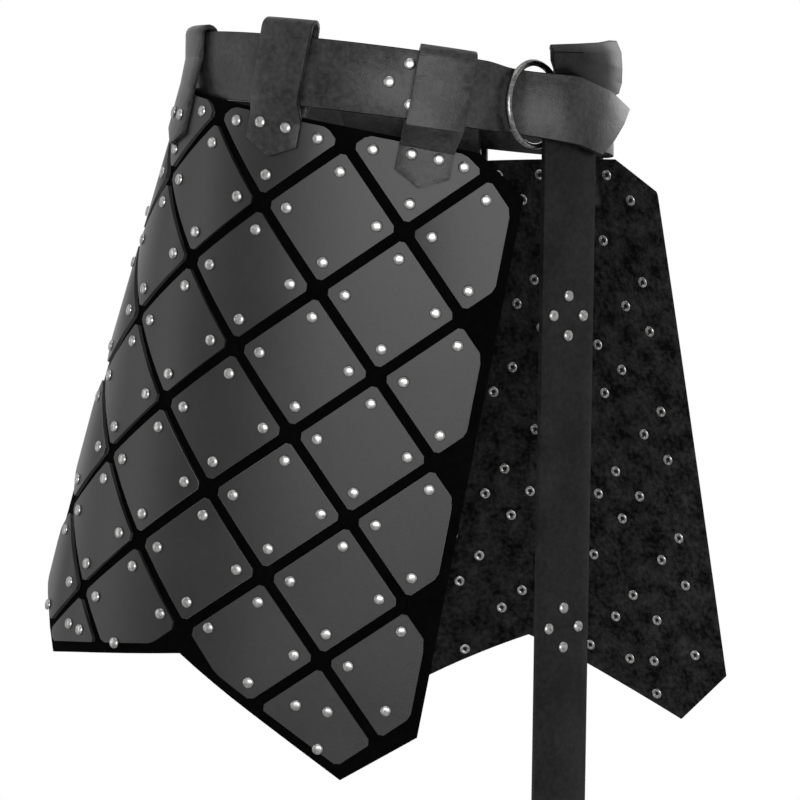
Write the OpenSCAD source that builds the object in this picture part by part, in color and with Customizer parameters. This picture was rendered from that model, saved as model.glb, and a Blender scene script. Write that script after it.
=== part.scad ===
// Leather waist belt with two hanging tassets, plated in squares set on their corners.
// Millimetres. The origin is the centre of the belt at half its height.
// X points to the wearer's left, -Y to the front and Z up.

/* [Belt] */
// Radius of the middle of the belt leather round the waist
belt_radius = 159; // [155:0.5:165]
// Height of the belt strap
belt_height = 50; // [44:1:54]
// Thickness of the belt leather
belt_thick = 4; // [3:0.5:4.5]
// Angle by which the belt dips toward the front
front_dip = 5.3; // [0:0.1:7]
// Angle by which the belt dips toward the wearer's left
left_dip = 5.5; // [0:0.1:7]

/* [Hangers] */
// Width of a hanger
hanger_width = 40; // [34:1:46]
// Thickness of the hanger leather
hanger_thick = 3.6; // [2.5:0.1:4]
// Room between the belt's face and the front leg of a hanger
loop_room = 2.4; // [2.2:0.1:4]
// Room between the belt's back and the rear leg of a hanger
rear_room = 1.5; // [1.4:0.1:2.5]
// Height of the hollow between the belt's top edge and a hanger's curl: rear, middle, front
loop_rise = [1.6, 9, 1.6]; // [1.6:0.2:11]
// Spacing of the three hangers along the tasset's top edge
hanger_pitch = 112; // [104:1:114]
// Height of the pointed end of a hanger
hanger_point = 10; // [6:1:14]
// Distance by which each hanger sits lower on the right tasset: rear, middle, front
right_lower = [10.5, 0, 1]; // [0:0.5:11]
// Distance by which each hanger sits lower on the left tasset: rear, middle, front
left_lower = [0, 0, 6]; // [0:0.5:11]
// Spacing of the two rivets in a hanger
hanger_rivet_pitch = 20; // [16:1:24]

/* [Tasset outline] */
// Width of a tasset's backing, measured flat
tasset_width = 376; // [370:1:384]
// Length of the backing's straight top edge
top_width = 300; // [280:1:320]
// Depth of the slope at each upper corner
shoulder_depth = 26; // [16:1:34]
// Depth at which the front lower corner starts
side_depth = 432; // [424:1:440]
// Depth at which the rear lower corner starts
rear_side_depth = 404; // [396:1:420]
// Distance between the two lower points
point_spread = 276; // [264:1:288]
// Depth of the front lower point
point_depth = 475; // [466:1:484]
// Depth of the rear lower point
rear_point_depth = 447; // [440:1:456]
// Depth of the notch between the two lower points
notch_depth = 408; // [402:1:416]
// Thickness of the suede backing
backing_thick = 2; // [1.5:0.1:2.5]

/* [Tasset form] */
// Radius of the bend over the rear of the hip at the top edge
rear_radius = 123; // [110:1:150]
// Radius of the flatter bend toward the front at the top edge
front_radius = 790; // [500:10:1000]
// Distance from the middle to where the two bends meet
bend_meet = 36; // [20:1:50]
// Distance from the top edge up to the point where the straight lines meet
flare_length = 672; // [600:1:760]
// Angle of the middle straight line away from the wearer
flare_angle = 7.1; // [4:0.1:9]

/* [Plates] */
// Side of a plate
plate_side = 68; // [60:0.5:70]
// Spacing of the plates along their sides
plate_pitch = 76; // [75:0.1:77]
// Thickness of a plate
plate_thick = 3; // [2:0.1:3.5]
// Length of the blunt cut at each plate corner
corner_cut = 4; // [2:0.5:6]
// Depth of the first full row of plates below the top edge
first_row = 66; // [62:0.5:70]
// Width of bare backing round the outer plates
plate_margin = 8; // [5:0.5:12]
// Width of bare backing above the top plates
top_margin = 3; // [2:0.5:5]
// Distance of a plate's rivets from its middle
rivet_reach = 33.4; // [28:0.1:36]

/* [Rivets] */
// Diameter of a rivet's domed head
head_width = 8.8; // [7:0.1:10]
// Height of a rivet's domed head
head_height = 2; // [1.4:0.1:2.1]
// Diameter of a rivet's shank
shank_width = 3.2; // [2.6:0.1:4]
// Diameter of a rivet's ring-shaped back
back_width = 9; // [7:0.1:10]
// Height of a rivet's ring-shaped back
back_height = 1; // [0.6:0.1:1.4]
// Diameter of the hollow in a rivet's back
hollow_width = 2.2; // [1.4:0.1:2.4]

/* [Placing of the tassets] */
// Distance that the plates' faces lie outside the middle of the belt leather
stand_off = 1.5; // [1:0.1:2.4]
// Gap between the belt and the right tasset, the left tasset
tasset_drop = [6, 12.5]; // [4:0.1:13]
// Angle round the belt from the hip toward the back, right and left
tasset_shift = [-2, 19]; // [-3:0.5:20]
// Angle of each tasset's face toward the front, right and left
tasset_yaw = [12.8, -18.4]; // [-20:0.1:14]
// Angle by which each tasset's lower end leans forward, right and left
tasset_lean = [-12.1, 4.6]; // [-13:0.1:6]
// Angle by which each tasset's lower end leans away from the wearer
tasset_tilt = [-7.5, 5.6]; // [-8:0.1:6]

/* [Ring and knot] */
// Outer diameter of the ring
ring_width = 66; // [64:1:68]
// Diameter of the ring's wire
wire_width = 5; // [4:0.5:5.5]
// Place of the ring's middle round the belt, counted from the wearer's left
ring_at = 256.5; // [256:0.5:257]
// Depth of the ring's middle behind the middle of the belt leather
ring_depth = 9; // [8.5:0.5:9.5]
// Angle of the ring across the belt
ring_turn = 11; // [10:0.5:12]
// Width of the strap's end where it is folded round the ring
fold_width = 40; // [34:1:42]
// Length of the strap's end past the fold
fold_overlap = 16; // [12:1:18]
// Depth by which the strap dips to pass behind the ring's wire
pass_depth = 11.6; // [11.2:0.2:12]
// Height of the band's middle over the belt in front of the knot
band_out = 11.5; // [11:0.5:12]
// Length of the hanging end below the knot
tail_length = 525; // [460:5:540]
// Angle by which the hanging end leans toward the wearer's right
tail_lean = 1; // [0:0.5:2]
// Spacing of the groups of four rivets along the strap
group_pitch = 230; // [226:1:236]
// Half of the diagonal of a group of four rivets
group_reach = 14.5; // [12:0.5:15]
// Place of the group that shows on the belt, counted from the wearer's left
group_at = 218.7; // [218:0.1:219.5]
// Depth of the hanging end's first group below the knot
tail_group_at = 134; // [120:1:140]

/* [Hidden] */

$fn = 48;
leather = [0.17, 0.17, 0.18];
strap_leather = [0.2, 0.2, 0.2];
suede = [0.05, 0.05, 0.05];
nickel = [0.75, 0.75, 0.73];

// Clearances between pieces that lie on each other
seat_gap = 0.25;
hole_gap = 0.2;
rivet_gap = 0.3;

// Places of the layers, measured outward from the plates' outer faces
backing_face = -plate_thick - seat_gap;
backing_inside = backing_face - backing_thick;
leg_inside = 0.45;
leg_outside = leg_inside + hanger_thick;
rear_leg_outside = backing_inside - 0.45;
rear_leg_inside = rear_leg_outside - hanger_thick;

// Vectors
function unit(v) = v / norm(v);
function turned(v, angle) = [
    v[0] * cos(angle) - v[1] * sin(angle),
    v[0] * sin(angle) + v[1] * cos(angle)];
function mix(a, b, t) = a + (b - a) * t;
function smooth(t) = let (c = max(0, min(1, t))) c * c * (3 - 2 * c);

// The belt: a point at an angle round it, a distance out from the middle of its leather
// and a height above the middle of the strap
function dip(x, y) = tan(front_dip) * y - tan(left_dip) * x;
function on_belt(angle, out, up) = let (
    x = (belt_radius + out) * cos(angle),
    y = (belt_radius + out) * sin(angle)) [x, y, dip(x, y) + up];
function belt_angle(length) = length / belt_radius * 180 / PI;

// The tasset's top edge: two arcs that share a tangent, s measured toward the front
meet_heading = bend_meet / rear_radius * 180 / PI;
meet_spot = rear_radius * [sin(meet_heading), cos(meet_heading) - 1];
function edge_heading(s) = s <= bend_meet ? s / rear_radius * 180 / PI
    : meet_heading + (s - bend_meet) / front_radius * 180 / PI;
function edge_spot(s) = let (h = edge_heading(s)) s <= bend_meet
    ? rear_radius * [sin(h), cos(h) - 1]
    : meet_spot + front_radius * [sin(h) - sin(meet_heading), cos(h) - cos(meet_heading)];

// The tasset is part of a cone, so a flat piece of leather bends onto it without stretching.
// Its straight lines fan out from the apex; edge_table gives the fan angle at each s.
apex_back = flare_length * sin(flare_angle);
apex_up = flare_length * cos(flare_angle);
function line_at(s) = let (e = edge_spot(s)) unit([e[0], e[1] + apex_back, -apex_up]);
function line_side(s) = let (h = edge_heading(s)) unit(cross([cos(h), -sin(h), 0], line_at(s)));
edge_step = 6;
edge_count = 42;
function fan_step(s) = 2 * asin(norm(line_at(s + edge_step) - line_at(s)) / 2);
forward_fan = [for (k = 0, a = 0; k < edge_count; a = a + fan_step(k * edge_step), k = k + 1) [a, k * edge_step]];
backward_fan = [for (k = 0, a = 0; k > -edge_count; k = k - 1, a = a - fan_step(k * edge_step)) [a, k * edge_step]];
edge_table = concat([for (k = [edge_count - 1:-1:1]) backward_fan[k]], forward_fan);

// A point of the flat pattern, x toward the front and y down from the top edge, bent onto
// the cone at a distance out from the plates' outer faces
function bent(x, y, out) = let (
    fan = atan2(x, flare_length + y),
    s = lookup(fan, edge_table))
    [0, -apex_back, apex_up] + norm([x, flare_length + y]) * line_at(s) + out * line_side(s);

// Places a bent point on the wearer; side 0 is right and 1 is left
function hand(side) = side == 0 ? -1 : 1;
hip_radius = belt_radius - 2.5 + stand_off;
function hip_angle(side) = side == 0 ? 180 - tasset_shift[0] : tasset_shift[1];
function hip_spot(side) = let (p = on_belt(hip_angle(side), hip_radius - belt_radius, 0))
    [p[0], p[1], p[2] - belt_height / 2 - tasset_drop[side]];
function placed(side, p) = let (
    leaned = turned([p[0], p[2]], tasset_lean[side]),
    tilted = turned([p[1], leaned[1]], tasset_tilt[side]),
    face = [hand(side) * cos(tasset_yaw[side]), -sin(tasset_yaw[side])],
    ahead = [-hand(side) * sin(tasset_yaw[side]), -cos(tasset_yaw[side])],
    flat = tilted[0] * face + leaned[0] * ahead)
    hip_spot(side) + [flat[0], flat[1], tilted[1]];
function on_tasset(side, x, y, out) = placed(side, bent(x, y, out));

// Flat outlines
half_width = tasset_width / 2;
half_top = top_width / 2;
half_spread = point_spread / 2;
function half_outline(rear) = [
    [half_top, 0],
    [half_width, shoulder_depth],
    [half_width, rear ? rear_side_depth : side_depth],
    [half_spread, rear ? rear_point_depth : point_depth],
    [0, notch_depth]];
function mirrored(shape) = [for (k = [len(shape) - 1:-1:0]) [-shape[k][0], shape[k][1]]];
outline = concat(half_outline(false), mirrored([for (k = [0:3]) half_outline(true)[k]]));

// Keeps the part of an outline on the inner side of a line that lies a margin inside a to b
function keep(shape, a, b, margin) = let (
    e = unit(b - a), n = [e[1], -e[0]], d = n * a - margin)
    [for (i = [0:len(shape) - 1]) let (
        p = shape[i], q = shape[(i + 1) % len(shape)],
        dp = n * p - d, dq = n * q - d)
        each concat(dp <= 0 ? [p] : [], dp * dq < 0 ? [p + (q - p) * dp / (dp - dq)] : [])];
function blunt(shape, cut) = [for (i = [0:len(shape) - 1]) let (
    p = shape[i], n = len(shape),
    before = shape[(i + n - 1) % n] - p, after = shape[(i + 1) % n] - p,
    c = min(cut, norm(before) * 0.45, norm(after) * 0.45))
    each [p + unit(before) * c, p + unit(after) * c]];

// The plates: whole squares on their corners, cut by the lines of the backing's outline
step = plate_pitch / sqrt(2);
half_plate = plate_side / sqrt(2);
function row_depth(row) = first_row + (row - 2) * step;
function row_places(row) = row == 9 ? [-2, 2] : row % 2 == 1 ? [-2, 0, 2] : [-3, -1, 1, 3];
function whole_plate(x, y) = [
    [x, y - half_plate], [x + half_plate, y], [x, y + half_plate], [x - half_plate, y]];
function trimmed(shape, edge) =
    keep(keep(keep(keep(keep(shape,
        [0, 0], [1, 0], top_margin),
        edge[0], edge[1], plate_margin),
        edge[1], edge[2], plate_margin),
        edge[2], edge[3], plate_margin),
        edge[3], edge[4], plate_margin);
function plate_shape(row, place) = let (
    half = trimmed(whole_plate(abs(place) * step, row_depth(row)), half_outline(place < 0)),
    shape = blunt(half, corner_cut / sqrt(2)))
    place < 0 ? mirrored(shape) : shape;

// Rivets of a plate: toward its corners, and drawn in where the plate is cut
function plate_rivets_at(row, place) = let (
    m = [place * step, row_depth(row)], o = sign(place), r = rivet_reach)
    row == 1 ? [m + [-r, 0], m + [0, r], m + [r, 0]]
    : row == 9 ? (o > 0 ? [m + [-12, -17], m + [12, -17], m + [10, 12]]
        : [m + [-8, -24], m + [8, -24]])
    : abs(place) == 3 ? [m + [0, -r], m + [-o * r, 0], m + [0, row == 8 ? r - 6 : r]]
    : row == 8 ? [m + [0, -r], m + [r, o > 0 ? 0 : -6], m + [-r, o > 0 ? -6 : 0], m + [o * 4, r - 6]]
    : [m + [0, -r], m + [r, 0], m + [0, r], m + [-r, 0]];
hanger_rivet_depth = 9;
function lower(side, place) = (side == 0 ? right_lower : left_lower)[place + 1];
function hanger_rivets_at(side, place) = [for (u = [-1, 1])
    [place * hanger_pitch + u * hanger_rivet_pitch / 2, hanger_rivet_depth + lower(side, place)]];
plate_rivet_spots = [for (row = [1:9]) each [for (place = row_places(row)) each plate_rivets_at(row, place)]];
function hanger_rivet_spots(side) = [for (place = [-1:1]) each hanger_rivets_at(side, place)];

// Fan angles at which a shape is divided, and the two ends of each straight line in it
line_spacing = 0.8;
function fan_of(p) = atan2(p[0], flare_length + p[1]);
function sorted(v) = len(v) == 0 ? [] : let (p = v[0]) concat(
    sorted([for (x = v) if (x < p - 0.02) x]), [p],
    sorted([for (x = v) if (x > p + 0.02) x]));
function fan_lines(shape) = let (
    corners = [for (p = shape) fan_of(p)],
    low = min(corners), high = max(corners),
    between = [for (a = [ceil(low / line_spacing):floor(high / line_spacing)])
        if (min([for (c = corners) abs(c - a * line_spacing)]) > 0.15) a * line_spacing])
    sorted(concat(corners, between));
function line_ends(shape, fan) = let (
    e = [sin(fan), cos(fan)],
    hits = [for (i = [0:len(shape) - 1]) let (
        p = shape[i] + [0, flare_length],
        q = shape[(i + 1) % len(shape)] + [0, flare_length],
        dp = e[0] * p[1] - e[1] * p[0],
        dq = e[0] * q[1] - e[1] * q[0])
        if (dp * dq <= 0 && abs(dp - dq) > 0.0001) e * (p + (q - p) * dp / (dp - dq))])
    [min(hits), max(hits)];
function bent_lines(side, shape, out) = let (lines = fan_lines(shape), end = len(lines) - 1)
    [for (i = [0:end]) let (
        fan = i == 0 ? lines[0] + 0.05 : i == end ? lines[end] - 0.05 : lines[i],
        ends = line_ends(shape, fan))
        [for (r = ends) on_tasset(side, r * sin(fan), r * cos(fan) - flare_length, out)]];

// A solid between two grids of points, outer and inner, that have the same rows and columns
module sheet(outer, inner, reversed = false) {
    rows = len(outer);
    cols = len(outer[0]);
    skip = rows * cols;
    points = concat([for (r = outer) each r], [for (r = inner) each r]);
    function at(i, j, layer) = layer * skip + i * cols + j;
    function quad(a, b, c, d) = [[a, b, c], [a, c, d]];
    faces = concat(
        [for (i = [0:rows - 2], j = [0:cols - 2])
            each quad(at(i, j, 0), at(i + 1, j, 0), at(i + 1, j + 1, 0), at(i, j + 1, 0))],
        [for (i = [0:rows - 2], j = [0:cols - 2])
            each quad(at(i, j, 1), at(i, j + 1, 1), at(i + 1, j + 1, 1), at(i + 1, j, 1))],
        [for (i = [0:rows - 2]) each concat(
            quad(at(i, 0, 0), at(i, 0, 1), at(i + 1, 0, 1), at(i + 1, 0, 0)),
            quad(at(i, cols - 1, 0), at(i + 1, cols - 1, 0), at(i + 1, cols - 1, 1), at(i, cols - 1, 1)))],
        [for (j = [0:cols - 2]) each concat(
            quad(at(0, j, 0), at(0, j + 1, 0), at(0, j + 1, 1), at(0, j, 1)),
            quad(at(rows - 1, j, 0), at(rows - 1, j, 1), at(rows - 1, j + 1, 1), at(rows - 1, j + 1, 0)))]);
    walls_first = [for (k = [len(faces) - 1:-1:0]) faces[k]];
    polyhedron(points, [for (f = walls_first) reversed ? [f[2], f[1], f[0]] : f], convexity = 10);
}

// Stands what is drawn along Z on a tasset, square to its face
module square_to_tasset(side, spot) {
    foot = on_tasset(side, spot[0], spot[1], 0);
    up = on_tasset(side, spot[0], spot[1], 1) - foot;
    translate(foot) rotate([0, acos(up[2]), atan2(up[1], up[0])]) children();
}

// A rivet: domed head above head_at, shank, and a ring-shaped back below back_at
module rivet(head_at, back_at) {
    head_radius = head_width / 2;
    dome_radius = (head_radius ^ 2 + head_height ^ 2) / (2 * head_height);
    dome_edge = asin(head_radius / dome_radius);
    rotate_extrude() polygon(concat(
        [for (k = [3:-1:0]) let (a = dome_edge * k / 3)
            [dome_radius * sin(a), head_at + head_height - dome_radius * (1 - cos(a))]],
        [[0, back_at],
            [hollow_width / 2, back_at - back_height],
            [back_width / 2 - 0.6, back_at - back_height],
            [back_width / 2, back_at],
            [shank_width / 2, back_at],
            [shank_width / 2, head_at]]));
}

module rivet_holes(side, spots, top, bottom) {
    for (spot = spots)
        square_to_tasset(side, spot)
            translate([0, 0, bottom]) cylinder(d = shank_width + 2 * hole_gap, h = top - bottom);
}

module backing(side) {
    color(suede) difference() {
        sheet(bent_lines(side, outline, backing_face), bent_lines(side, outline, backing_inside), side == 1);
        rivet_holes(side, concat(plate_rivet_spots, hanger_rivet_spots(side)), backing_face + 1, backing_inside - 1);
    }
}

module plate_row(side, row) {
    color(leather) for (place = row_places(row)) {
        shape = plate_shape(row, place);
        own_rivets = plate_rivets_at(row, place);
        spots = row == 1 ? concat(own_rivets, hanger_rivets_at(side, place / 2)) : own_rivets;
        difference() {
            sheet(bent_lines(side, shape, 0), bent_lines(side, shape, -plate_thick), side == 1);
            rivet_holes(side, spots, 1, -plate_thick - 1);
        }
    }
}

module rivet_row(side, row) {
    color(nickel) for (place = row_places(row), spot = plate_rivets_at(row, place))
        square_to_tasset(side, spot) rivet(rivet_gap, backing_inside - rivet_gap);
}

module hanger_rivets(side) {
    color(nickel) for (spot = hanger_rivet_spots(side))
        square_to_tasset(side, spot) rivet(leg_outside + rivet_gap, rear_leg_inside - rivet_gap);
}

// A hanger: front leg from its point up over the belt, and rear leg down behind the backing
leg_depth = 22;
rear_leg_depth = 30;
hanger_columns = [-1, -0.5, 0, 0.5, 1];
front_gap = belt_thick / 2 + loop_room;
rear_gap = belt_thick / 2 + rear_room;
curl_radius = (front_gap + rear_gap) / 2;
curl_middle = (front_gap - rear_gap) / 2;
function curl_base(place) = belt_height / 2 + loop_rise[place + 1] - curl_radius;

function hanger_row(side, place, width, outs, depth) = [for (out = outs)
    [for (u = hanger_columns) on_tasset(side, place * hanger_pitch + u * width / 2, depth, out)]];
function hanger_foot(side, place) = on_tasset(side, place * hanger_pitch, 0, 0);
function hanger_slope(side, place) = let (
    top = hanger_foot(side, place),
    rise = top - on_tasset(side, place * hanger_pitch, 20, 0),
    middle = atan2(top[1], top[0]),
    ahead = hand(side) * [sin(middle), -cos(middle)])
    atan2([rise[0], rise[1]] * ahead, rise[2]);
function loop_row(side, place, outs, ups) = let (
    top = hanger_foot(side, place),
    slope = hanger_slope(side, place),
    middle = atan2(top[1], top[0]),
    below = top[2] - dip(top[0], top[1]))
    [for (k = [0, 1]) [for (u = hanger_columns) let (
        across = u * hanger_width / 2 + (ups[k] - below) * tan(slope))
        on_belt(middle - hand(side) * belt_angle(across), outs[k], ups[k])]];
// How the legs run depends on where the tasset's top edge lies under the hanger: well inside
// the middle of the belt leather (0), near it (1) or outside it (2)
function lies(side, place) = let (
    top = hanger_foot(side, place),
    off = radius_of(top) - belt_radius)
    off > 3 ? 2 : off > -4 ? 1 : 0;
function rear_leg_start(side, place) = let (
    top = hanger_foot(side, place),
    above = top[2] - dip(top[0], top[1]) + belt_height / 2)
    [-6, -3, above + 8][lies(side, place)];
belt_edge = -belt_height / 2;
function radius_of(p) = norm([p[0], p[1]]);
function moved_to(p, radius) = [p[0] * radius / radius_of(p), p[1] * radius / radius_of(p), p[2]];
function outer_of(row, other) = [for (k = [0, 1]) [for (i = [0:len(row[k]) - 1])
    moved_to(row[k][i], max(radius_of(row[k][i]), radius_of(other[k][i])))]];
function inner_of(row, other) = [for (k = [0, 1]) [for (i = [0:len(row[k]) - 1])
    moved_to(row[k][i], min(radius_of(row[k][i]), radius_of(other[k][i])))]];
front_outs = [front_gap + hanger_thick, front_gap];
rear_outs = [-rear_gap - hanger_thick, -rear_gap];
tuck = 2;
function hanger_rows(side, place) = let (
    way = lies(side, place), down = lower(side, place)) concat(
    [for (d = [0, 1]) hanger_row(side, place, mix(2, hanger_width, d),
        [leg_outside, leg_inside], leg_depth + down + hanger_point * (1 - d))],
    [for (depth = [12, [5, 3, -3][way]]) let (
        row = hanger_row(side, place, hanger_width, [leg_outside, leg_inside], depth))
        depth < 0 ? outer_of(row, loop_row(side, place, front_outs, [0, 0])) : row],
    [for (up = way == 2 ? [5] : [belt_edge + [-4, 3][way], 5]) loop_row(side, place, front_outs, [up, up])],
    [for (a = [0:22.5:180]) let (c = curl_radius, t = hanger_thick) loop_row(side, place,
        [curl_middle + (c + t) * cos(a), curl_middle + c * cos(a)],
        [curl_base(place) + (c + t) * sin(a), curl_base(place) + c * sin(a)])],
    [loop_row(side, place, rear_outs, [5, 5])],
    way == 0 ? [] : [let (up = belt_edge + [0, 5, -2][way]) inner_of(
        loop_row(side, place, rear_outs, [up, up]),
        hanger_row(side, place, hanger_width, [rear_leg_inside - tuck, rear_leg_outside - tuck], 4))],
    [for (depth = [rear_leg_start(side, place), 16 + down, rear_leg_depth + down])
        hanger_row(side, place, hanger_width, [rear_leg_inside, rear_leg_outside], depth)]);

module hanger(side, place) {
    rows = hanger_rows(side, place);
    color(strap_leather) difference() {
        sheet([for (r = rows) r[0]], [for (r = rows) r[1]], side == 1);
        rivet_holes(side, hanger_rivets_at(side, place), leg_outside + 1, rear_leg_inside - 1);
    }
}

// The ring, its plane turned a little across the belt
ring_radius = (ring_width - wire_width) / 2;
ring_middle = on_belt(ring_at, -ring_depth, 0);
ring_along = [-sin(ring_at + ring_turn), cos(ring_at + ring_turn), 0];
ring_out = [cos(ring_at + ring_turn), sin(ring_at + ring_turn), 0];
module ring() {
    color(nickel) translate(ring_middle) rotate([0, 90, ring_at + ring_turn])
        rotate_extrude($fn = 96) translate([ring_radius, 0]) circle(d = wire_width, $fn = 32);
}

// The strap's end: it comes from the wearer's left, narrows, passes outside the ring's wire,
// folds round it and lies back along its own inside. At each height it follows the wire.
fold_inside = wire_width / 2 + 0.4;
fold_middle = fold_inside + belt_thick / 2;
fold_columns = [-1, -0.5, 0, 0.5, 1];
fold_join = ring_at + 26;
function fold_point(angle, reach, up) = let (
    slant = asin(up / ring_radius))
    ring_middle + [0, 0, up]
    + (ring_radius * cos(slant) + reach * cos(angle) / cos(slant)) * ring_along
    + reach * sin(angle) * ring_out;
function fold_row(angle, reach) = [for (u = fold_columns) fold_point(angle, reach, u * fold_width / 2)];
function end_row(angle, out, width) = [for (u = fold_columns) on_belt(angle, out, u * width / 2)];
fold_outer = concat(
    [end_row(fold_join, belt_thick / 2, belt_height),
     end_row(fold_join - 5, belt_thick / 2 - 1, belt_height),
     end_row(fold_join - 9, belt_thick / 2 - 3.5, fold_width)],
    [for (a = [90:22.5:270]) fold_row(a, fold_middle + belt_thick / 2)],
    [end_row(fold_join - 10.5, -13.8, fold_width),
     end_row(ring_at + 11 + belt_angle(fold_overlap), -belt_thick * 1.5 - 2.6, fold_width)]);
fold_inner = concat(
    [end_row(fold_join, -belt_thick / 2, belt_height),
     end_row(fold_join - 5, -belt_thick / 2 - 1, belt_height),
     end_row(fold_join - 9, -belt_thick / 2 - 3.5, fold_width)],
    [for (a = [90:22.5:270]) fold_row(a, fold_inside)],
    [end_row(fold_join - 10.5, -9.8, fold_width),
     end_row(ring_at + 11 + belt_angle(fold_overlap), -belt_thick / 2 - 2.6, fold_width)]);
module ring_fold() {
    color(strap_leather) sheet(fold_outer, fold_inner);
}

// The belt strap: round the wearer's left, the back and the right, behind the near side of
// the ring, out through it and on as the band across the knot, to a slanting fold
pass_start = 360 + ring_at - 19;
pass_low = 360 + ring_at - 6.5;
pass_high = 360 + ring_at + 9.5;
gather = 1.5;
function pass_out(a) = a < pass_low
    ? -pass_depth * smooth((a - pass_start) / (pass_low - pass_start))
    : mix(-pass_depth, band_out, smooth((a - pass_low) / (pass_high - pass_low)));
function half_strap(a) = belt_height / 2
    - gather * smooth((a - pass_start) / 12) * smooth((pass_high - a) / 12);
function strap_row(a, face) = [for (k = turn_columns)
    on_belt(a, pass_out(a) + face * belt_thick / 2, mix(-1, 1, k) * half_strap(a))];
strap_angles = concat(
    [for (a = [fold_join + 0.1:4:pass_start]) a],
    [for (a = [pass_start + 2:2:pass_high]) a]);

// Middle of the leather where it turns, as places of its two edges: angle round the belt,
// distance out and height. The turn rises behind the belt, curls over its top edge and
// comes down in front of it.
band_end = [
    [[270, band_out, -27], [280, band_out + 0.5, 20]],
    [[275.5, band_out, -29.3], [296.5, band_out + 2, 11]]];
turn_bend = [
    [[278.5, -6, -23], [293, -6, 6]],
    [[278, -7, -8], [294.5, -5.5, 18]],
    [[277, -8.5, 8], [295, -5, 31]],
    [[274, -8.5, 22], [294.5, -4, 43]],
    [[267, -6.5, 34], [291.5, -1, 53]],
    [[260, -2, 41], [289.5, 3.5, 58]],
    [[257.5, 4.5, 42.5], [288.5, 8, 58]],
    [[257, 8, 38.5], [289.5, 10.5, 51]],
    [[257.5, 6.5, 32], [291.5, 10, 40]],
    [[260.5, 0.5, 27], [293.5, 8.5, 29]],
    [[261.5, -1.5, 21], [290, 8.3, 20]],
    [[261, -4.5, 13], [284, 6.5, 15]]];
turn_columns = [0, 1 / 3, 2 / 3, 1];
function bend_points(bend) = [for (p = bend) [for (k = turn_columns) let (e = mix(p[0], p[1], k))
    on_belt(e[0], e[1], e[2])]];
function turned_sheet(rows, face) = let (end = len(rows) - 1, last = len(rows[0]) - 1)
    [for (i = [0:end]) [for (k = [0:last]) let (
        across = rows[i][min(k + 1, last)] - rows[i][max(k - 1, 0)],
        ahead = rows[min(i + 1, end)][k] - rows[max(i - 1, 0)][k])
        rows[i][k] + face * belt_thick / 2 * unit(cross(ahead, across))]];

module square_to_belt(angle, up) {
    translate(on_belt(angle, 0, up)) rotate([0, 90, angle]) children();
}
group_places = [for (u = [-1, 1]) each [[u, 0], [0, u]]];
belt_group_spots = [for (g = group_places) let (u = g * group_reach)
    [group_at + belt_angle(u[0]), u[1]]];
module belt_rivets() {
    color(nickel) for (spot = belt_group_spots)
        square_to_belt(spot[0], spot[1]) rivet(belt_thick / 2 + rivet_gap, -belt_thick / 2 - rivet_gap);
}

module belt_strap() {
    color(strap_leather) difference() {
        sheet(
            concat([for (a = strap_angles) strap_row(a, 1)], turned_sheet(bend_points(band_end), 1)),
            concat([for (a = strap_angles) strap_row(a, -1)], turned_sheet(bend_points(band_end), -1)), true);
        for (spot = belt_group_spots)
            square_to_belt(spot[0], spot[1])
                cylinder(d = shank_width + 2 * hole_gap, h = belt_thick + 2, center = true);
    }
}

// The hanging end: a flat strap that swings on its rounded top edge, behind the band
tail_left = [258.4, -4.2];
tail_right = [276, 5.5];
tail_top = -16;
tail_edges = [for (e = [tail_left, tail_right]) on_belt(e[0], e[1], 0)];
tail_foot = (tail_edges[0] + tail_edges[1]) / 2;
tail_spot = [tail_foot[0], tail_foot[1], tail_foot[2] + tail_top];
tail_across = tail_edges[1] - tail_edges[0];
tail_heading = atan2(tail_across[1], tail_across[0]);
tail_reach = norm([tail_across[0], tail_across[1]]) / 2;
function beside_tail(side, up) = tail_spot + side * tail_reach * [cos(tail_heading), sin(tail_heading), 0] + [0, 0, up];
module at_tail() {
    translate(tail_spot) rotate([0, 0, tail_heading]) rotate([90, 0, 0]) rotate([0, 0, -tail_lean]) children();
}
tail_point = 18;
tail_group_spots = [for (k = [0, 1], g = group_places) g * group_reach - [0, tail_group_at + k * group_pitch]];
module tail_outline() {
    w = belt_height / 2;
    polygon([[-w, 0], [-w, -tail_length + tail_point], [-w / 3, -tail_length],
        [w / 3, -tail_length], [w, -tail_length + tail_point], [w, 0]]);
}
module hanging_end() {
    color(strap_leather) at_tail() difference() {
        union() {
            translate([0, 0, -belt_thick / 2]) linear_extrude(belt_thick) tail_outline();
            rotate([0, 90, 0]) cylinder(d = belt_thick, h = belt_height, center = true);
        }
        for (spot = tail_group_spots)
            translate([spot[0], spot[1], 0])
                cylinder(d = shank_width + 2 * hole_gap, h = belt_thick + 2, center = true);
    }
}
module hanging_end_rivets() {
    color(nickel) at_tail() for (spot = tail_group_spots)
        translate([spot[0], spot[1], 0]) rivet(belt_thick / 2 + rivet_gap, -belt_thick / 2 - rivet_gap);
}

// The turn of the knot, down to the hanging end's rounded edge
turn_rows = concat(bend_points(turn_bend), [for (up = [18, belt_thick / 2 + 0.6])
    [for (k = turn_columns) beside_tail(mix(-1, 1, k), up)]]);
module knot_turn() {
    color(strap_leather) sheet(turned_sheet(turn_rows, 1), turned_sheet(turn_rows, -1), true);
}

belt_strap();
ring_fold();
ring();
belt_rivets();
knot_turn();
hanging_end();
hanging_end_rivets();
for (side = [0, 1]) {
    name = side == 0 ? "right" : "left";
    backing(side);
    for (row = [1:9])
        plate_row(side, row);
    for (row = [1:9])
        rivet_row(side, row);
    hanger_rivets(side);
    for (place = [-1:1])
        hanger(side, place);
}
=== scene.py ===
import math

import bmesh
import bpy
from mathutils import Matrix, Vector


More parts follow.
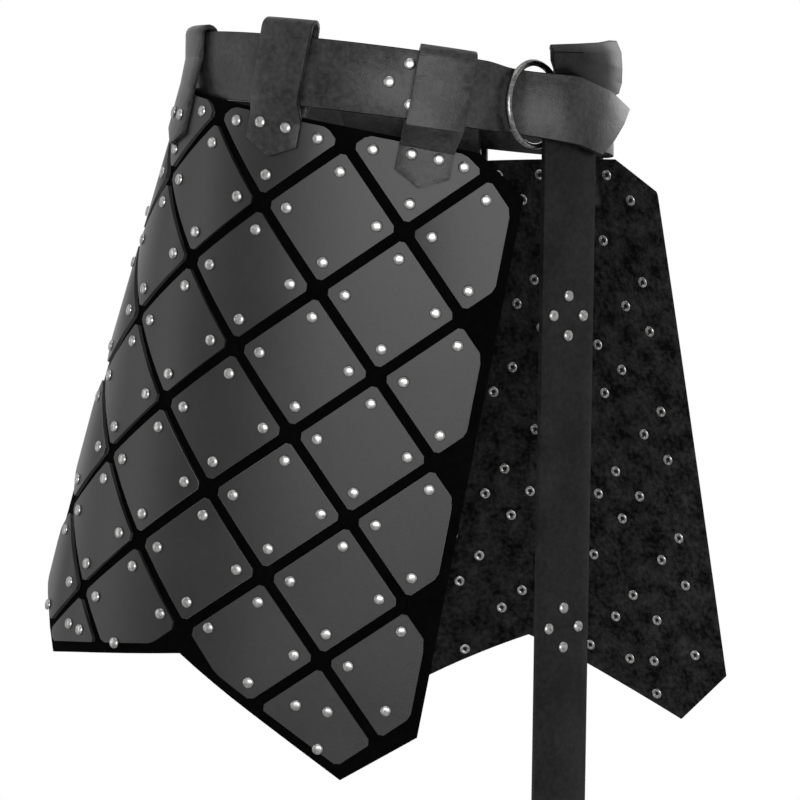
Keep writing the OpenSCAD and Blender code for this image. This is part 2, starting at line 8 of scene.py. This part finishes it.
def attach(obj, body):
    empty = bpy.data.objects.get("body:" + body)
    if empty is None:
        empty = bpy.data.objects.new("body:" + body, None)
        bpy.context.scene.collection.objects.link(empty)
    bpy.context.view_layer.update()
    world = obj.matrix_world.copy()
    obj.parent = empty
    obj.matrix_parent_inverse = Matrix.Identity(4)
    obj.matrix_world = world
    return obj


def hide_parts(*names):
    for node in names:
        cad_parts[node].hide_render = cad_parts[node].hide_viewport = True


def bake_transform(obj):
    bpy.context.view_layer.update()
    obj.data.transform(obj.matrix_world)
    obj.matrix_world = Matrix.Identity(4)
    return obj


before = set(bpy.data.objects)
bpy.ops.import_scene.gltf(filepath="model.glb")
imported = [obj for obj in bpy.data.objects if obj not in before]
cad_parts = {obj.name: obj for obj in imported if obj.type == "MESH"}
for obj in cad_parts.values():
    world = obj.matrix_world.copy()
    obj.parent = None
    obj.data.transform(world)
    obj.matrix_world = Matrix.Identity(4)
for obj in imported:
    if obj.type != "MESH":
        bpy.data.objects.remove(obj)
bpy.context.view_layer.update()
scene = bpy.context.scene

# The view: a camera at the wearer's right front, a little above the middle of the tassets,
# looking slightly down, as the armor was photographed.
camera_turn = math.radians(53.0)
camera_dip = math.radians(3.6)
look = Vector((math.sin(camera_turn) * math.cos(camera_dip),
               math.cos(camera_turn) * math.cos(camera_dip), -math.sin(camera_dip)))
across = Vector((math.cos(camera_turn), -math.sin(camera_turn), 0.0))
upright = across.cross(look)
camera_shift, camera_aim, camera_distance = -0.0022, Vector((0.0, 0.0, -0.2324)), 2.330
camera_spot = across * camera_shift + camera_aim - look * camera_distance
camera_data = bpy.data.cameras.new("camera")
camera_data.sensor_width = 36.0
camera_data.lens = 136.3
camera_data.clip_end = 50.0
camera = bpy.data.objects.new("camera", camera_data)
camera.matrix_world = Matrix((
    (across.x, upright.x, -look.x, camera_spot.x),
    (across.y, upright.y, -look.y, camera_spot.y),
    (across.z, upright.z, -look.z, camera_spot.z),
    (0.0, 0.0, 0.0, 1.0)))
scene.collection.objects.link(camera)
scene.camera = camera

# The studio: a pale floor well below the hanging armor, a white surround, and soft lamps in
# front, at the left, above and behind.
scene.view_settings.view_transform = "Standard"


def seen_straight(nodes, links):
    # 1 for camera, transmission and glossy rays, which see the surround as plain white
    path = nodes.new("ShaderNodeLightPath")
    straight = nodes.new("ShaderNodeMath")
    straight.operation = "MAXIMUM"
    links.new(path.outputs["Is Camera Ray"], straight.inputs[0])
    links.new(path.outputs["Is Transmission Ray"], straight.inputs[1])
    seen = nodes.new("ShaderNodeMath")
    seen.operation = "MAXIMUM"
    links.new(straight.outputs[0], seen.inputs[0])
    links.new(path.outputs["Is Glossy Ray"], seen.inputs[1])
    return seen.outputs[0]


world = bpy.data.worlds.new("studio")
scene.world = world
world.use_nodes = True
wn, wl = world.node_tree.nodes, world.node_tree.links
wn.clear()
surround = wn.new("ShaderNodeBackground")
surround.inputs["Color"].default_value = (0.8, 0.8, 0.8, 1.0)
surround.inputs["Strength"].default_value = 0.28
seen_white = wn.new("ShaderNodeBackground")
seen_white.inputs["Color"].default_value = (1.0, 1.0, 1.0, 1.0)
seen_white.inputs["Strength"].default_value = 1.0
surround_mix = wn.new("ShaderNodeMixShader")
wl.new(seen_straight(wn, wl), surround_mix.inputs["Fac"])
wl.new(surround.outputs[0], surround_mix.inputs[1])
wl.new(seen_white.outputs[0], surround_mix.inputs[2])
world_out = wn.new("ShaderNodeOutputWorld")
wl.new(surround_mix.outputs[0], world_out.inputs["Surface"])

floor_half_width, floor_depth = 9.0, -1.0
floor_bm = bmesh.new()
bmesh.ops.create_grid(floor_bm, x_segments=1, y_segments=1, size=floor_half_width)
bmesh.ops.translate(floor_bm, verts=floor_bm.verts, vec=(0.0, 0.0, floor_depth))
floor_mesh = bpy.data.meshes.new("floor")
floor_bm.to_mesh(floor_mesh)
floor_bm.free()
floor = bpy.data.objects.new("floor", floor_mesh)
scene.collection.objects.link(floor)
floor_paint = bpy.data.materials.new("floor_paint")
floor_paint.use_nodes = True
fn, fl = floor_paint.node_tree.nodes, floor_paint.node_tree.links
fn.clear()
matt = fn.new("ShaderNodeBsdfDiffuse")
matt.inputs["Color"].default_value = (0.8, 0.8, 0.8, 1.0)
glow = fn.new("ShaderNodeEmission")
glow.inputs["Strength"].default_value = 1.0
floor_place = fn.new("ShaderNodeTexCoord")
from_middle = fn.new("ShaderNodeVectorMath")
from_middle.operation = "LENGTH"
fl.new(floor_place.outputs["Object"], from_middle.inputs[0])
# The length counts the floor's depth of 1 m too, so the floor turns white 0.8 to 1.6 m out
whiter = fn.new("ShaderNodeMapRange")
whiter.interpolation_type = "SMOOTHSTEP"
whiter.inputs["From Min"].default_value = 1.28
whiter.inputs["From Max"].default_value = 1.9
whiter.inputs["To Min"].default_value = 0.4
fl.new(from_middle.outputs["Value"], whiter.inputs["Value"])
mostly = fn.new("ShaderNodeMath")
mostly.operation = "MULTIPLY"
fl.new(seen_straight(fn, fl), mostly.inputs[0])
fl.new(whiter.outputs["Result"], mostly.inputs[1])
floor_mix = fn.new("ShaderNodeMixShader")
fl.new(mostly.outputs[0], floor_mix.inputs["Fac"])
fl.new(matt.outputs[0], floor_mix.inputs[1])
fl.new(glow.outputs[0], floor_mix.inputs[2])
floor_out = fn.new("ShaderNodeOutputMaterial")
fl.new(floor_mix.outputs[0], floor_out.inputs["Surface"])
floor_mesh.materials.append(floor_paint)


def softbox(name, spot, aim, size, power):
    lamp = bpy.data.lights.new(name, "AREA")
    lamp.shape = "RECTANGLE"
    lamp.size, lamp.size_y = size
    lamp.energy = power
    holder = bpy.data.objects.new(name, lamp)
    away = (Vector(spot) - Vector(aim)).normalized()
    holder.rotation_euler = away.to_track_quat("Z", "Y").to_euler()
    holder.location = spot
    scene.collection.objects.link(holder)


middle = Vector((0.0, 0.0, -0.25))
softbox("softbox_front", middle - look * 2.6 + across * 0.18 - upright * 0.02,
        middle + upright * 0.1, (2.1, 1.2), 62.0)
softbox("softbox_left", middle - look * 0.05 - across * 1.9 + upright * 0.25,
        middle, (0.7, 1.4), 5.0)
softbox("softbox_above", middle + upright * 1.9 - look * 0.4, middle, (1.4, 1.0), 8.0)
softbox("softbox_behind", middle + look * 1.5 + across * 1.0 + upright * 0.9,
        middle, (1.2, 1.2), 12.0)

# The plates: squares of stiff tooling leather, dyed dark grey and waxed to a satin. Their
# edges are cut square and lightly rounded with an edge tool. The rounded edges are painted pale:
# partly a line of fibre, partly a painted highlight.
grain = bpy.data.node_groups.new("leather_grain", "ShaderNodeTree")
for socket_name in ("Pore Scale", "Cloud Scale", "Fleck Scale"):
    grain.interface.new_socket(socket_name, in_out="INPUT", socket_type="NodeSocketFloat")
for socket_name in ("Height", "Cloud", "Fleck"):
    grain.interface.new_socket(socket_name, in_out="OUTPUT", socket_type="NodeSocketFloat")
gn, gl = grain.nodes, grain.links
grain_in = gn.new("NodeGroupInput")
grain_out = gn.new("NodeGroupOutput")
grain_place = gn.new("ShaderNodeTexCoord")
pores = gn.new("ShaderNodeTexVoronoi")
gl.new(grain_place.outputs["Object"], pores.inputs["Vector"])
gl.new(grain_in.outputs["Pore Scale"], pores.inputs["Scale"])
clouds = gn.new("ShaderNodeTexNoise")
clouds.inputs["Detail"].default_value = 4.0
gl.new(grain_place.outputs["Object"], clouds.inputs["Vector"])
gl.new(grain_in.outputs["Cloud Scale"], clouds.inputs["Scale"])
flecks = gn.new("ShaderNodeTexNoise")
flecks.inputs["Detail"].default_value = 8.0
flecks.inputs["Roughness"].default_value = 0.62
gl.new(grain_place.outputs["Object"], flecks.inputs["Vector"])
gl.new(grain_in.outputs["Fleck Scale"], flecks.inputs["Scale"])
together = gn.new("ShaderNodeMath")
together.operation = "MULTIPLY_ADD"
together.inputs[1].default_value = 0.5
gl.new(pores.outputs["Distance"], together.inputs[0])
gl.new(flecks.outputs["Fac"], together.inputs[2])
gl.new(together.outputs[0], grain_out.inputs["Height"])
gl.new(clouds.outputs["Fac"], grain_out.inputs["Cloud"])
gl.new(flecks.outputs["Fac"], grain_out.inputs["Fleck"])


def grain_node(nodes, pore_scale, cloud_scale, fleck_scale):
    hide = nodes.new("ShaderNodeGroup")
    hide.node_tree = grain
    hide.inputs["Pore Scale"].default_value = pore_scale
    hide.inputs["Cloud Scale"].default_value = cloud_scale
    hide.inputs["Fleck Scale"].default_value = fleck_scale
    return hide


def two_tones(nodes, links, source, dark, light, spread, target):
    tone = nodes.new("ShaderNodeValToRGB")
    tone.color_ramp.elements[0].position = spread[0]
    tone.color_ramp.elements[0].color = (*dark, 1.0)
    tone.color_ramp.elements[1].position = spread[1]
    tone.color_ramp.elements[1].color = (*light, 1.0)
    links.new(source, tone.inputs["Fac"])
    links.new(tone.outputs["Color"], target)


def between(nodes, links, source, limits, target):
    span = nodes.new("ShaderNodeMapRange")
    span.inputs["To Min"].default_value = limits[0]
    span.inputs["To Max"].default_value = limits[1]
    links.new(source, span.inputs["Value"])
    links.new(span.outputs["Result"], target)


def raised(nodes, links, source, strength, depth, target):
    bump = nodes.new("ShaderNodeBump")
    bump.inputs["Strength"].default_value = strength
    bump.inputs["Distance"].default_value = depth
    links.new(source, bump.inputs["Height"])
    links.new(bump.outputs["Normal"], target)


leather_depth = 0.0003


def leather_finish(name, dark, light, rough, pore_scale, cloud_scale, fleck_scale, relief, gloss,
                   fleck_share=0.35, spread=(0.32, 0.7)):
    finish = bpy.data.materials.new(name)
    finish.use_nodes = True
    nodes, links = finish.node_tree.nodes, finish.node_tree.links
    skin = nodes["Principled BSDF"]
    skin.inputs["Specular IOR Level"].default_value = gloss
    hide = grain_node(nodes, pore_scale, cloud_scale, fleck_scale)
    blended = nodes.new("ShaderNodeMix")
    blended.data_type = "FLOAT"
    blended.inputs["Factor"].default_value = fleck_share
    links.new(hide.outputs["Cloud"], blended.inputs["A"])
    links.new(hide.outputs["Fleck"], blended.inputs["B"])
    mixed = blended.outputs["Result"]
    two_tones(nodes, links, mixed, dark, light, spread, skin.inputs["Base Color"])
    between(nodes, links, mixed, rough, skin.inputs["Roughness"])
    raised(nodes, links, hide.outputs["Height"], relief, leather_depth, skin.inputs["Normal"])
    return finish


plate_face = leather_finish(
    "plate_leather", dark=(0.008, 0.008, 0.0083), light=(0.017, 0.017, 0.0175), rough=(0.32, 0.44),
    pore_scale=900.0, cloud_scale=13.0, fleck_scale=170.0, relief=0.18, gloss=0.25)
# The pale edge finish is partly the cut fibre and partly a painted highlight on every rounded edge
plate_edge_and_highlight = leather_finish(
    "plate_cut_edge_and_highlight", dark=(0.07, 0.069, 0.068), light=(0.15, 0.148, 0.145), rough=(0.5, 0.7),
    pore_scale=700.0, cloud_scale=60.0, fleck_scale=300.0, relief=0.4, gloss=0.25)


def loose_pieces(bm):
    found, pieces = set(), []
    for first in bm.verts:
        if first in found:
            continue
        one = [first]
        found.add(first)
        for vert in one:
            for link in vert.link_edges:
                end = link.other_vert(vert)
                if end not in found:
                    found.add(end)
                    one.append(end)
        pieces.append(one)
    return pieces


same_spot, flat_angle, rim_angle, crease_angle = 0.00002, 0.6, 50.0, 35.0
shortest_rim, edge_rounding = 0.0009, 0.0005


def mark_creases(bm, angle):
    for edge in bm.edges:
        edge.smooth = edge.calc_face_angle(0.0) <= math.radians(angle)


def shown(bm, node, finishes, body):
    mesh = bpy.data.meshes.new(node + "_finished")
    bm.to_mesh(mesh)
    bm.free()
    for finish in finishes:
        mesh.materials.append(finish)
    piece = bpy.data.objects.new(node + "_finished", mesh)
    scene.collection.objects.link(piece)
    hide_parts(node)
    if body:
        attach(piece, body)
    return piece


# A copy of a solid with its edges rounded by offset. With two finishes the second is on the
# rounded edges, and on the narrow faces between two of them, up to side_width
def finished_copy(node, finishes, body, offset, side_width=0.0):
    piece_bm = bmesh.new()
    piece_bm.from_mesh(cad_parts[node].data)
    bmesh.ops.remove_doubles(piece_bm, verts=piece_bm.verts, dist=same_spot)
    bmesh.ops.dissolve_limit(piece_bm, angle_limit=math.radians(flat_angle),
                             verts=piece_bm.verts, edges=piece_bm.edges)
    bmesh.ops.recalc_face_normals(piece_bm, faces=piece_bm.faces)
    rims = [e for e in piece_bm.edges if len(e.link_faces) == 2 and e.calc_length() > shortest_rim
            and e.calc_face_angle(0.0) > math.radians(rim_angle)]
    if offset > 0.0:
        rounded = bmesh.ops.bevel(piece_bm, geom=rims, offset=offset, offset_type="OFFSET", segments=2,
                                  profile=0.5, affect="EDGES", clamp_overlap=True, material=-1)
        if len(finishes) > 1:
            rim_faces = set(rounded["faces"])
            for face in rim_faces:
                face.material_index = 1
            for face in piece_bm.faces:
                longest = sorted(face.edges, key=lambda e: e.calc_length())[-2:]
                if (face.calc_area() < side_width * longest[1].calc_length()
                        and all(rim_faces.intersection(e.link_faces) for e in longest)):
                    face.material_index = 1
    for face in piece_bm.faces:
        face.smooth = True
    mark_creases(piece_bm, crease_angle)
    return shown(piece_bm, node, finishes, body)


face_share, least_spread = 0.3, 1e-12


# The bend of a stiff plate is even, so the normals on its face turn evenly from side to side
def even_bend(piece, away):
    mesh = piece.data
    bm = bmesh.new()
    bm.from_mesh(mesh)
    bm.faces.ensure_lookup_table()
    loop_normals = [Vector()] * len(mesh.loops)
    for one in loose_pieces(bm):
        faces = {f for v in one for f in v.link_faces
                 if f.material_index == 0 and f.normal.dot(away) > face_share}
        total = sum(f.calc_area() for f in faces)
        centre = sum((f.calc_center_median() * f.calc_area() for f in faces), Vector()) / total
        facing = sum((f.normal * f.calc_area() for f in faces), Vector()).normalized()
        sideways = Vector((0.0, 0.0, 1.0)).cross(facing).normalized()
        reach = {f: (f.calc_center_median() - centre).dot(sideways) for f in faces}
        spread = sum(f.calc_area() * reach[f] ** 2 for f in faces)
        turn = sum(((f.normal - facing) * (f.calc_area() * reach[f]) for f in faces), Vector())
        turn = turn / spread if spread > least_spread and len(faces) > 1 else Vector()
        for f in faces:
            for k in mesh.polygons[f.index].loop_indices:
                place = mesh.vertices[mesh.loops[k].vertex_index].co
                loop_normals[k] = (facing + turn * (place - centre).dot(sideways)).normalized()
    bm.free()
    mesh.normals_split_custom_set(loop_normals)


tasset_out = {"right": Vector((-0.975, -0.222, 0.0)), "left": Vector((0.949, 0.316, 0.0))}
rows = range(1, 10)
for side in tasset_out:
    for row in rows:
        plates = finished_copy(f"{side}_plate_row_{row}", (plate_face, plate_edge_and_highlight),
                               f"{side}_tasset", edge_rounding)
        even_bend(plates, tasset_out[side])

# The backings: one wide piece of black suede for each tasset, bent over the hip. The raised
# nap faces the wearer and shows soft, cloudy marks. The side under the plates shows only in the
# gaps between them, and is the same suede painted near black as painted shade.
# Painted shade: the same suede as the nap, painted near black on the side under the plates
suede_painted_shade = leather_finish(
    "suede_under_plates_painted_shade", dark=(0.0006, 0.0006, 0.0006), light=(0.0018, 0.0018, 0.0018),
    rough=(0.9, 1.0), pore_scale=1500.0, cloud_scale=34.0, fleck_scale=210.0, relief=0.5,
    gloss=0.02, fleck_share=0.6, spread=(0.38, 0.66))
suede_nap = leather_finish(
    "suede_nap", dark=(0.0022, 0.0022, 0.0023), light=(0.03, 0.03, 0.031), rough=(0.85, 1.0),
    pore_scale=1500.0, cloud_scale=64.0, fleck_scale=260.0, relief=0.8, gloss=0.03,
    fleck_share=0.55, spread=(0.4, 0.68))
painted_shade_share = 0.15
for side in tasset_out:
    backing = finished_copy(f"{side}_backing", (suede_painted_shade, suede_nap), f"{side}_tasset", 0.0)
    # Faces turned outward, under the plates and seen in their gaps, get the painted shade
    for face in backing.data.polygons:
        face.material_index = 0 if face.normal.dot(tasset_out[side]) > painted_shade_share else 1

# The belt, its knot and its hanging end: one long strip of black strap leather with burnished
# edges, passed through the ring and knotted on itself. The belt and hangers are painted paler
# than the ring fold, knot and hanging end. This is partly wear and partly painted light and shade,
# because the knot and hanging end face away from the lamps.
# Painted shade: the darker copy of the strap leather, on the ring fold, knot and hanging end
strap = leather_finish(
    "strap_leather", dark=(0.002, 0.002, 0.0021), light=(0.012, 0.012, 0.0122), rough=(0.3, 0.46),
    pore_scale=800.0, cloud_scale=26.0, fleck_scale=240.0, relief=0.4, gloss=0.12,
    fleck_share=0.55, spread=(0.4, 0.66))
strap_edge = leather_finish(
    "strap_cut_edge", dark=(0.0008, 0.0008, 0.0008), light=(0.002, 0.002, 0.002), rough=(0.5, 0.65),
    pore_scale=700.0, cloud_scale=60.0, fleck_scale=300.0, relief=0.3, gloss=0.05)
# Partly wear, partly painted light: the paler copy of the same strap leather, on the belt and hangers
worn_and_lit_strap = leather_finish(
    "worn_strap_leather", dark=(0.006, 0.006, 0.0062), light=(0.03, 0.03, 0.0305), rough=(0.3, 0.46),
    pore_scale=800.0, cloud_scale=38.0, fleck_scale=260.0, relief=0.45, gloss=0.2,
    fleck_share=0.5, spread=(0.4, 0.6))
strap_side = 0.0024
for node, face_finish, body in (("belt_strap", worn_and_lit_strap, "belt"), ("ring_fold", strap, "belt"),
                                ("knot_turn", strap, "belt"), ("hanging_end", strap, "hanging_end")):
    finished_copy(node, (face_finish, strap_edge), body, edge_rounding, strap_side)

# The hangers: loops of the same strap leather over the belt, their pointed ends riveted to the
# tassets. Each is shown as two legs that meet over the belt's top edge.
level_step, level_count = 0.005, 24
cut_level, arch_level = 3, 4
on_plane, level_slack = 0.00001, 0.0001
belt_reach, rivet_reach, shortest_bend = 0.03, 0.035, 0.008


def heights_near(node, spot, reach):
    return [v.co.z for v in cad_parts[node].data.vertices if (v.co.xy - spot.xy).length < reach]


# Cuts the loop level, so that it bends evenly, and parts it over the belt into two legs
def two_legs(mesh, levels, belt_low, spot, out):
    both = bmesh.new()
    both.from_mesh(mesh)
    for level in levels:
        bmesh.ops.bisect_plane(both, geom=both.verts[:] + both.edges[:] + both.faces[:], dist=on_plane,
                               plane_co=(0.0, 0.0, level), plane_no=(0.0, 0.0, 1.0))
    above = {v for v in both.verts if v.co.z > levels[cut_level] - level_slack}
    loop = list(above) + [e for e in both.edges if above.issuperset(e.verts)]
    loop += [f for f in both.faces if above.issuperset(f.verts)]
    cut = bmesh.ops.bisect_plane(both, geom=loop, dist=on_plane, plane_co=spot, plane_no=out)
    parted = [g for g in cut["geom_cut"] if isinstance(g, bmesh.types.BMEdge)]
    bmesh.ops.split_edges(both, edges=parted)
    bmesh.ops.holes_fill(both, edges=[e for e in both.edges if e.is_boundary])
    mark_creases(both, crease_angle)
    legs = []
    for leg in loose_pieces(both):
        beside_belt = [(v.co - spot).dot(out) for v in leg if v.co.z > belt_low]
        legs.append((sum(beside_belt) / len(beside_belt), {v.index for v in leg}))
    legs.sort(key=lambda leg: -leg[0])
    meshes = []
    for _, kept in legs:
        one = both.copy()
        bmesh.ops.delete(one, geom=[v for v in one.verts if v.index not in kept], context="VERTS")
        meshes.append(mesh.copy())
        one.to_mesh(meshes[-1])
        one.free()
    both.free()
    return meshes


for side in tasset_out:
    for place in ("rear", "middle", "front"):
        node = f"{side}_{place}_hanger"
        corners = [v.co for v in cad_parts[node].data.vertices]
        spot = (Vector(map(min, zip(*corners))) + Vector(map(max, zip(*corners)))) / 2.0
        belt_heights = heights_near("belt_strap", spot, belt_reach)
        belt_low, belt_top = min(belt_heights), max(belt_heights)
        levels = [max(v.z for v in corners) - level_step * k for k in range(level_count)]
        # The arch is longer along the belt than across it, so its short direction points outward
        arch = [v for v in corners if v.z > levels[arch_level]]
        crest = sum(arch, Vector()) / len(arch)
        turn = 0.5 * math.atan2(2.0 * sum((v.x - crest.x) * (v.y - crest.y) for v in arch),
                                sum((v.x - crest.x) ** 2 - (v.y - crest.y) ** 2 for v in arch))
        out = Vector((math.sin(turn), -math.cos(turn), 0.0))
        out *= 1.0 if out.dot(crest) > 0 else -1.0
        reach = [(v - crest).dot(out) for v in arch]
        belt_spot = crest + out * (max(reach) + min(reach)) / 2.0
        outer_leg = finished_copy(node, (worn_and_lit_strap, strap_edge), None,
                                  edge_rounding, strap_side)
        inner_leg = outer_leg.copy()
        inner_leg.name = node + "_inner_leg"
        scene.collection.objects.link(inner_leg)
        outer_leg.data, inner_leg.data = two_legs(outer_leg.data, levels, belt_low, belt_spot, out)
        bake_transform(outer_leg)
        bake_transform(inner_leg)

# The ring: a hoop of thick steel wire, butt-welded and nickel-plated. The plating is dull and
# grey, mottled by wear.
nickel_spread, nickel_relief, nickel_depth = (0.35, 0.65), 0.1, 0.0001


def nickel_finish(name, dark, light, rough):
    metal = bpy.data.materials.new(name)
    metal.use_nodes = True
    nodes, links = metal.node_tree.nodes, metal.node_tree.links
    plating = nodes["Principled BSDF"]
    plating.inputs["Metallic"].default_value = 1.0
    hide = grain_node(nodes, pore_scale=600.0, cloud_scale=120.0, fleck_scale=420.0)
    flecks_out = hide.outputs["Fleck"]
    two_tones(nodes, links, flecks_out, dark, light, nickel_spread, plating.inputs["Base Color"])
    between(nodes, links, hide.outputs["Cloud"], rough, plating.inputs["Roughness"])
    raised(nodes, links, flecks_out, nickel_relief, nickel_depth, plating.inputs["Normal"])
    return metal


ring_nickel = nickel_finish("ring_nickel", dark=(0.07, 0.07, 0.068), light=(0.2, 0.198, 0.195),
                            rough=(0.14, 0.34))
finished_copy("ring", (ring_nickel,), "ring", 0.0)

# The rivets: tubular steel rivets, nickel-plated. The heads are domed caps. On the inside the
# tube is rolled outward into a ring round a hole, which is made as a shallow dish painted dark as
# painted shade.
rivet_nickel = nickel_finish("rivet_nickel", dark=(0.15, 0.149, 0.146), light=(0.38, 0.376, 0.37),
                             rough=(0.2, 0.42))
# Painted shade: the dark inside of the hole, painted on a shallow dish
rivet_hole_painted_shade = nickel_finish("rivet_hole_painted_shade", dark=(0.01, 0.01, 0.01), light=(0.03, 0.03, 0.03),
                           rough=(0.6, 0.8))
head_radius, head_height, ring_radius, ring_height = 0.0044, 0.0020, 0.0045, 0.0010
# Each profile runs from the middle outward and back to it, as shares of the radius and height
head_profile = [(0.0, 1.0), (0.5, 0.95), (0.8, 0.76), (0.96, 0.38), (1.0, 0.0), (0.0, 0.0)]
back_profile = [(0.0, 0.25), (0.4, 0.25), (0.52, 0.8), (0.74, 1.0), (0.94, 0.85), (1.0, 0.3),
                (0.9, 0.0), (0.0, 0.0)]
shaded_hole_radius, shaded_hole_share = 0.42 * ring_radius, 0.1
rivet_sides, rivet_crease, squarings = 14, 60.0, 6


def rivet_axis(points):
    # A rivet is round, so the spread of its points is the same across it and differs along it.
    # Squared again and again, the spread keeps only the direction that differs
    spread = Matrix([[sum(p[i] * p[j] for p in points) / len(points) for j in range(3)]
                     for i in range(3)])
    mean = (spread[0][0] + spread[1][1] + spread[2][2]) / 3.0
    centred = spread - Matrix.Identity(3) * mean
    best = centred @ centred
    for _ in range(squarings):
        best = best @ best
        size = max(abs(best[i][j]) for i in range(3) for j in range(3))
        best = best * (1.0 / size)
    column = max((best.col[i] for i in range(3)), key=lambda c: c.length)
    return column.normalized()


def rivet_row(node, body, away=None):
    # With no direction given, the heads face away from the middle of the waist
    loose = bmesh.new()
    loose.from_mesh(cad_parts[node].data)
    bmesh.ops.remove_doubles(loose, verts=loose.verts, dist=same_spot)
    row_bm = bmesh.new()
    for one in loose_pieces(loose):
        centre = sum((v.co for v in one), Vector()) / len(one)
        axis = rivet_axis([v.co - centre for v in one])
        outward = Vector((centre.x, centre.y, 0.0)) if away is None else away
        if axis.dot(outward) < 0:
            axis = -axis
        reach = [(v.co - centre).dot(axis) for v in one]
        turn = axis.to_track_quat("Z", "Y").to_matrix().to_4x4()
        for profile, radius, height, start, way in (
                (head_profile, head_radius, head_height, max(reach) - head_height, 1.0),
                (back_profile, ring_radius, ring_height, min(reach) + ring_height, -1.0)):
            line = [row_bm.verts.new((x * radius, 0.0, start + way * z * height)) for x, z in profile]
            edges = [row_bm.edges.new((line[k], line[k + 1])) for k in range(len(line) - 1)]
            bmesh.ops.spin(row_bm, geom=line + edges, cent=(0, 0, 0), axis=(0, 0, 1),
                           dvec=(0, 0, 0), angle=math.tau, steps=rivet_sides,
                           use_merge=True, use_duplicate=False)
            made = [v for v in row_bm.verts if not v.tag]
            for v in made:
                v.tag = True
                for face in v.link_faces:
                    spot = face.calc_center_median()
                    # The middle of the back's shallow dish gets the painted shade of the hole
                    deep = spot.z < start - shaded_hole_share * height
                    if way < 0 and spot.xy.length < shaded_hole_radius and deep:
                        face.material_index = 1
            bmesh.ops.transform(row_bm, matrix=Matrix.Translation(centre) @ turn, verts=made)
    loose.free()
    bmesh.ops.remove_doubles(row_bm, verts=row_bm.verts, dist=same_spot / 2.0)
    bmesh.ops.recalc_face_normals(row_bm, faces=row_bm.faces)
    for face in row_bm.faces:
        face.smooth = True
    mark_creases(row_bm, rivet_crease)
    shown(row_bm, node, (rivet_nickel, rivet_hole_painted_shade), body)


rivet_row("belt_rivets", "belt")
rivet_row("hanging_end_rivets", "hanging_end")
for side in tasset_out:
    rivet_row(f"{side}_hanger_rivets", f"{side}_tasset", tasset_out[side])
    for row in rows:
        rivet_row(f"{side}_rivet_row_{row}", f"{side}_tasset", tasset_out[side])
